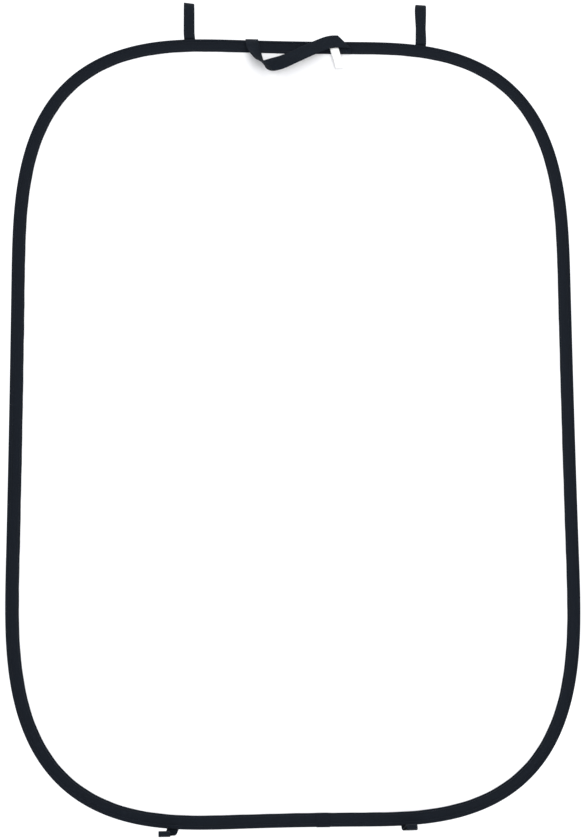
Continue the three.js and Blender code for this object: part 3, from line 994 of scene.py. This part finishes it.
def loop_shapes():
    """The four loops. The bottom ones lie forwards, bent round the edge."""
    top_opening, bottom_opening = 23 * MM, 11 * MM
    return [
        LoopShape("top_loop_left", True, 98 * MM, -1.5 * MM, top_opening, tilt=-0.11),
        LoopShape("top_loop_right", True, 111 * MM, 0.5 * MM, top_opening, tilt=-0.05),
        LoopShape(
            "bottom_loop_left", False, 75 * MM, -18 * MM, bottom_opening,
            drop=3 * MM, bend=6 * MM, rise=math.radians(17),
        ),
        LoopShape(
            "bottom_loop_right", False, 70 * MM, 3.5 * MM, bottom_opening,
            drop=2 * MM, bend=4 * MM, rise=math.radians(21),
        ),
    ]


def webbing_loops(outline, material, thread):
    """Four loops, and a sewn box over the ends of each."""
    size = sizes()
    boxes = {True: [], False: []}
    for shape in loop_shapes():
        edge = webbing_loop(shape, outline, material)
        sign = 1 if shape.top else -1
        near, far = edge - sign * SEWN_NEAR, edge - sign * SEWN_FAR
        face = ON_TAPE * MM + 1.5 * size.webbing_thickness + PLY_GAP
        half = size.loop_width / 2 - 3.5 * MM
        boxes[shape.top].append(box_of_stitches(shape.pivot[0], face, min(near, far), max(near, far), half))
    for top, body in ((True, "upper_half"), (False, "lower_half")):
        middle, way = (np.concatenate(part) for part in zip(*boxes[top]))
        outward = np.broadcast_to((0.0, 1.0, 0.0), middle.shape)
        name = ("top" if top else "bottom") + "_loop_stitches"
        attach(stitches(name, middle, way, outward, SEAM_STITCH, thread), body)


# ---------------------------------------------------------------- carrying strap and label

# The slack strap's middle line and the direction across it, from over the edge at its left end to its right
# fold: millimetres across, in depth (minus is in front) and above the top edge, then the direction.
STRAP_STATIONS = (
    (-113, -8.4, -6, 1, 0, 0),
    (-109, -11, -22, 0.98, 0.1, 0.1),
    (-101, -14.5, -44, 0.85, 0.5, 0.2),
    (-91, -19, -63, 0.6, 0.8, 0.15),
    (-79, -24, -75.5, 0.38, 0.9, -0.28),
    (-62, -28, -78.5, 0.3, 0.66, -0.68),
    (-42, -29, -74.5, 0.2, 0.4, -0.9),
    (-12, -26, -61, 0.25, 0.05, -0.97),
    (32, -22, -38, 0.33, 0, -0.94),
    (72, -16, -16.5, 0.28, 0, -0.96),
    (98, -11.6, -5, 0.15, 0, -0.99),
    (110, -9.9, -2.3, 0.03, 0, -1),
    (118, -9.6, -2, 0, 0, -1),
)
# The strap's left tail up the tape's back, as depth behind the mid-plane and height above the edge.
STRAP_TAIL = ((ON_TAPE, -30), (ON_TAPE, -13), (3.7, -10.4), (6.15, -6.4), (6.3, -2.2), (5.5, 0.6))


def strap_flow(top, outline):
    """The strap's middle line and across directions as far as its right fold, in the model's frame. The left
    tail comes first, up the tape's back and over the edge."""
    x = STRAP_STATIONS[0][0]
    edge = (fold_height + outline.edge_height(x * MM) - top) / MM
    tail = [(x, depth, height + edge, 1, 0, 0) for depth, height in STRAP_TAIL]
    over = [(x, 2.6, 2.3 + edge, 1, 0, 0), (x, -3.2, 2.0 + edge, 1, 0, 0), (x, -6.6, -2.0 + edge, 1, 0, 0)]
    rows = np.array(tail + over + list(STRAP_STATIONS), float)
    rows[:, :3] *= MM
    path = smooth_path(rows, 260, 3)
    line, across = path[:, :3] + (0, 0, top), path[:, 3:]
    way = unit(np.gradient(line, axis=0))
    across = unit(across - way * np.sum(across * way, -1, keepdims=True))
    return line, across


def strap_fold(start, depth_in, top, width):
    """The strap's right end: the flat strip is turned back on itself about a crease at 45 degrees, so that it
    leaves downwards, behind itself, and lies on the tape. Distance past the crease becomes a half circle and
    then a straight run the other way."""
    roll = 1.55 * MM
    crease = width / 2 + 1.5 * MM
    leg = 34.5 * MM + start[2] - top + math.pi * roll / math.sqrt(2)
    past = np.linspace(0, crease + leg, 90)[1:, None]
    lateral = np.linspace(0.5, -0.5, 61)[None] * width
    beyond = (past - crease + lateral) / math.sqrt(2)
    along_crease = (past - crease - lateral) / math.sqrt(2)
    arc = math.pi * roll
    angle = np.clip(beyond / roll, 0, math.pi)
    forward = np.where(beyond < arc, np.where(beyond < 0, beyond, roll * np.sin(angle)), arc - beyond)
    back = roll * (1 - np.cos(angle))
    flat_x = start[0] + crease + (along_crease + forward) / math.sqrt(2)
    flat_z = start[2] + (forward - along_crease) / math.sqrt(2)
    inset = top - flat_z
    settle = ease((inset - 6 * MM) / (7 * MM)) * ease((beyond - arc) / (11 * MM)) * 3.3 * MM
    return np.stack([flat_x, -depth_in + back + settle, flat_z], -1)


def carrying_strap(outline, material, thread):
    """The slack strap in two pieces that meet at the bottom of its hang. As the strap lifts, the left
    piece's tail on the tape's back cuts through the tape and the cloths."""
    size = sizes()
    top = fold_height + outline.edge_height(0)
    line, across = strap_flow(top, outline)
    whole = ribbon(line, across, size.strap_width)
    meeting_x, hang = -62 * MM, 60 * MM
    away = np.abs(line[:, 0] - meeting_x)
    away[line[:, 2] > top - hang] = 1
    meet = int(away.argmin())
    left, right = whole[: meet + 1], whole[meet:]
    fold = strap_fold(line[-1], -line[-1, 1], top, size.strap_width)
    right = np.concatenate([right, fold])
    bits = (size.strap_width, size.webbing_thickness, material, "strap_webbing")
    left_piece = webbing("carrying_strap_left", left, *bits, ["strap_end_left"])
    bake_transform(left_piece)
    right_piece = webbing("carrying_strap_right", right, *bits, ["carrying_strap", "strap_end_right"])
    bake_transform(right_piece)
    leg = (strap_low.x + strap_high.x) / 2
    low, high = strap_low.z, strap_low.z + 9 * MM
    face = ON_TAPE * MM + size.webbing_thickness / 2
    front_box = box_of_stitches(leg, -face, low, high, 11 * MM)
    tail_x = -115 * MM
    edge = fold_height + outline.edge_height(tail_x)
    back_box = box_of_stitches(tail_x, face, edge - 28 * MM, edge - 15 * MM, 12 * MM)
    middle, way = (np.concatenate(pair) for pair in zip(front_box, back_box))
    facing = np.where(np.arange(len(middle)) < len(front_box[0]), -1.0, 1.0)
    outward = facing[:, None] * np.array([0.0, 1.0, 0.0])
    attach(stitches("strap_stitches", middle, way, outward, SEAM_STITCH, thread), "upper_half")


def blank_label(thread):
    """A plain satin label, doubled: one ply runs down from the seam, folds under at the bottom and comes back
    up behind, set a little to one side. It slants as it hangs, and its corners lift slightly."""
    width, ply, slope = 22.5 * MM, 0.3 * MM, 0.26
    top, bottom = hem_high.z, label_low.z
    x = hem_low.x + width / 2
    length = top - bottom
    seam_depth = 3.1 * MM
    fold = 0.42 * MM
    front_run = np.linspace(0, length - fold, 60)
    turn = np.linspace(0, math.pi, 9)[1:-1]
    back_run = np.linspace(length - fold, 6 * MM, 52)
    down = np.concatenate([front_run, length - fold + fold * np.sin(turn), back_run])
    behind = np.concatenate([0 * front_run, fold * (1 - np.cos(turn)), 0 * back_run + 2 * fold])
    depth = seam_depth + 4.5 * MM * ease((down - 3 * MM) / (15 * MM)) - behind
    shift = slope * down - 1.4 * MM * behind / (2 * fold)
    line = np.stack([x + shift, -depth, top - down], -1)
    across = np.broadcast_to(unit(np.array([1.0, 0.0, 0.12])), line.shape)
    middle = ribbon(line, across, width, 25)
    lateral = np.linspace(-1, 1, 25)[None]
    hang = ease((down - 18 * MM) / (50 * MM))[:, None]
    middle[..., 1] -= hang * (1.1 * MM * lateral**2 + 0.7 * MM * lateral * np.sin(down / (14 * MM))[:, None])
    piece = webbing(
        "blank_label", middle, width, ply, label_material(), "label_cloth", ["label", "label_hem"], columns=1
    )
    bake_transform(piece)
    below, half_row = 4 * MM, 10 * MM
    row, row_x = top - below, x + slope * below
    left, right = row_x - half_row, row_x + half_row
    stitch_depth = -seam_depth - 0.35 * MM
    middle, way = seam([(left, stitch_depth, row), (right, stitch_depth, row)], SEAM_PITCH)
    outward = np.broadcast_to((0.0, -1.0, 0.0), middle.shape)
    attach(stitches("label_stitches", middle, way, outward, 2.1 * MM, thread), "upper_half")


# ---------------------------------------------------------------- stage


def soft_light(name, place, target, width, strength):
    """A square soft box that faces a target."""
    data = bpy.data.lights.new(name, "AREA")
    data.size = width
    data.color = (1, 0.985, 0.95)
    data.energy = strength
    light = bpy.data.objects.new(name, data)
    bpy.context.scene.collection.objects.link(light)
    light.location = place
    light.rotation_mode = "QUATERNION"
    light.rotation_quaternion = (Vector(target) - Vector(place)).to_track_quat("-Z", "Y")


def build_stage():
    """A round pale floor under the panel, white surroundings and soft boxes in front of it and behind it."""
    floor_height = fold_height - sizes().half_height - FLOOR_GAP
    radius = np.linspace(0.02, 60, 60)
    turn = np.arange(72) * TAU / 72
    ring = radius[:, None]
    rings = np.broadcast_arrays(ring * np.cos(turn), ring * np.sin(turn), floor_height)
    uv = grid_uv(radius, np.append(turn, TAU))
    floor = surface_piece("studio_floor", np.stack(rings, -1), uv, round_ring=True)
    floor.data.flip_normals()
    floor.data.materials.append(stage_material())
    world = bpy.data.worlds.new("studio_world")
    world.use_nodes = True
    background = world.node_tree.nodes["Background"]
    background.inputs["Color"].default_value = (0.965, 0.975, 1, 1)
    background.inputs["Strength"].default_value = WORLD_STRENGTH
    bpy.context.scene.world = world
    bpy.context.scene.view_settings.view_transform = "Standard"
    middle = (0, 0, fold_height)
    soft_light("key_light", (-0.5, -1.5, fold_height + 2.9), (0.1, 0, fold_height + 0.6), 1.2, KEY_STRENGTH)
    soft_light("fill_light", (2.6, -4.6, fold_height + 0.6), middle, 3.0, FILL_STRENGTH)
    soft_light("back_light", (1.8, 4.4, fold_height + 2.4), middle, 2.4, BACK_STRENGTH)


def build_camera():
    """The camera stands in front of the panel, a little below and to the left of its middle, looks slightly
    up, and is rolled by a third of a degree."""
    place = Vector((-0.1671, -2.9803, fold_height - 0.3027))
    forward = Vector((0.0531, 0.9934, 0.1014)).normalized()
    right = forward.cross(Vector((0, 0, 1))).normalized()
    up = right.cross(forward)
    roll = math.radians(-0.33)
    turned_right = right * math.cos(roll) + up * math.sin(roll)
    turned_up = up * math.cos(roll) - right * math.sin(roll)
    data = bpy.data.cameras.new("camera")
    data.lens = 48.64
    data.sensor_width = 36
    data.clip_start = 0.05
    data.clip_end = 200
    camera = bpy.data.objects.new("camera", data)
    bpy.context.scene.collection.objects.link(camera)
    basis = Matrix((turned_right, turned_up, -forward)).transposed().to_4x4()
    camera.matrix_world = Matrix.Translation(place) @ basis
    bpy.context.scene.camera = camera


# ---------------------------------------------------------------- operators


class REFLECTOR_OT_camera(Operator):
    """Make the camera in front of the panel"""

    bl_idname = "reflector.camera"
    bl_label = "Camera"

    def execute(self, context):
        build_camera()
        return {"FINISHED"}


class REFLECTOR_OT_white_cloth(Operator):
    """Stretch the white cloth over the front"""

    bl_idname = "reflector.white_cloth"
    bl_label = "White cloth"

    def execute(self, context):
        nodes = ["front_cloth_upper", "front_cloth_lower"]
        cloth_sheet("white_cloth", Outline(), CLOTH_DEPTH, white_cloth_material(), "white_cloth", nodes)
        return {"FINISHED"}


class REFLECTOR_OT_silver_cloth(Operator):
    """Stretch the silver cloth over the back"""

    bl_idname = "reflector.silver_cloth"
    bl_label = "Silver cloth"

    def execute(self, context):
        nodes = ["back_cloth_upper", "back_cloth_lower"]
        cloth_sheet("silver_cloth", Outline(), -CLOTH_DEPTH, silver_cloth_material(), "silver_cloth", nodes)
        return {"FINISHED"}


class REFLECTOR_OT_hoop(Operator):
    """Make the sprung steel hoop, and finish its sleeve"""

    bl_idname = "reflector.hoop"
    bl_label = "Spring hoop"

    def execute(self, context):
        spring_hoop(Outline())
        sleeve = frame["nodes"]["hoop_sleeve"]
        sleeve.data.materials.clear()
        sleeve.data.materials.append(sleeve_material())
        return {"FINISHED"}


class REFLECTOR_OT_edge_tape(Operator):
    """Fold the black tape round the edge, and lap its end"""

    bl_idname = "reflector.edge_tape"
    bl_label = "Edge tape"

    def execute(self, context):
        outline, material = Outline(), edge_tape_material()
        edge_tape(outline, material)
        tape_lap(outline, material)
        return {"FINISHED"}


class REFLECTOR_OT_stitches(Operator):
    """Sew the rows of stitches round both faces of the tape"""

    bl_idname = "reflector.stitches"
    bl_label = "Tape stitches"

    def execute(self, context):
        tape_stitch_rows(Outline(), thread_material())
        return {"FINISHED"}


class REFLECTOR_OT_loops(Operator):
    """Make the four webbing loops and sew their ends"""

    bl_idname = "reflector.loops"
    bl_label = "Webbing loops"

    def execute(self, context):
        webbing_loops(Outline(), webbing_material(), thread_material())
        return {"FINISHED"}


class REFLECTOR_OT_strap(Operator):
    """Make the slack carrying strap and sew its ends"""

    bl_idname = "reflector.strap"
    bl_label = "Carrying strap"

    def execute(self, context):
        carrying_strap(Outline(), webbing_material(), thread_material())
        return {"FINISHED"}


class REFLECTOR_OT_label(Operator):
    """Make the plain sewn label"""

    bl_idname = "reflector.label"
    bl_label = "Blank label"

    def execute(self, context):
        blank_label(thread_material())
        return {"FINISHED"}


class REFLECTOR_OT_stage(Operator):
    """Lay the pale floor and set the soft lights"""

    bl_idname = "reflector.stage"
    bl_label = "Stage"

    def execute(self, context):
        build_stage()
        return {"FINISHED"}


OPERATORS = (
    REFLECTOR_OT_camera,
    REFLECTOR_OT_white_cloth,
    REFLECTOR_OT_silver_cloth,
    REFLECTOR_OT_hoop,
    REFLECTOR_OT_edge_tape,
    REFLECTOR_OT_stitches,
    REFLECTOR_OT_loops,
    REFLECTOR_OT_strap,
    REFLECTOR_OT_label,
    REFLECTOR_OT_stage,
)


class REFLECTOR_PT_panel(Panel):
    """Sizes, colours and pieces of the reflector panel"""

    bl_idname = "REFLECTOR_PT_panel"
    bl_label = "Reflector panel"
    bl_space_type = "VIEW_3D"
    bl_region_type = "UI"
    bl_category = "Reflector"

    def draw(self, context):
        for group in (context.scene.reflector_sizes, context.scene.reflector_colours):
            column = self.layout.column(align=True)
            for name in group.__annotations__:
                column.prop(group, name)
        pieces = self.layout.column(align=True)
        for operator in OPERATORS:
            pieces.operator(operator.bl_idname)


CLASSES = (ReflectorSizes, ReflectorColours, *OPERATORS, REFLECTOR_PT_panel)


def register():
    for made in CLASSES:
        bpy.utils.register_class(made)
    bpy.types.Scene.reflector_sizes = PointerProperty(type=ReflectorSizes)
    bpy.types.Scene.reflector_colours = PointerProperty(type=ReflectorColours)


def unregister():
    del bpy.types.Scene.reflector_colours
    del bpy.types.Scene.reflector_sizes
    for made in reversed(CLASSES):
        bpy.utils.unregister_class(made)


def main():
    """Makes every piece in order."""
    register()
    for operator in OPERATORS:
        getattr(bpy.ops.reflector, operator.bl_idname.split(".")[1])()


if __name__ == "__main__":
    main()
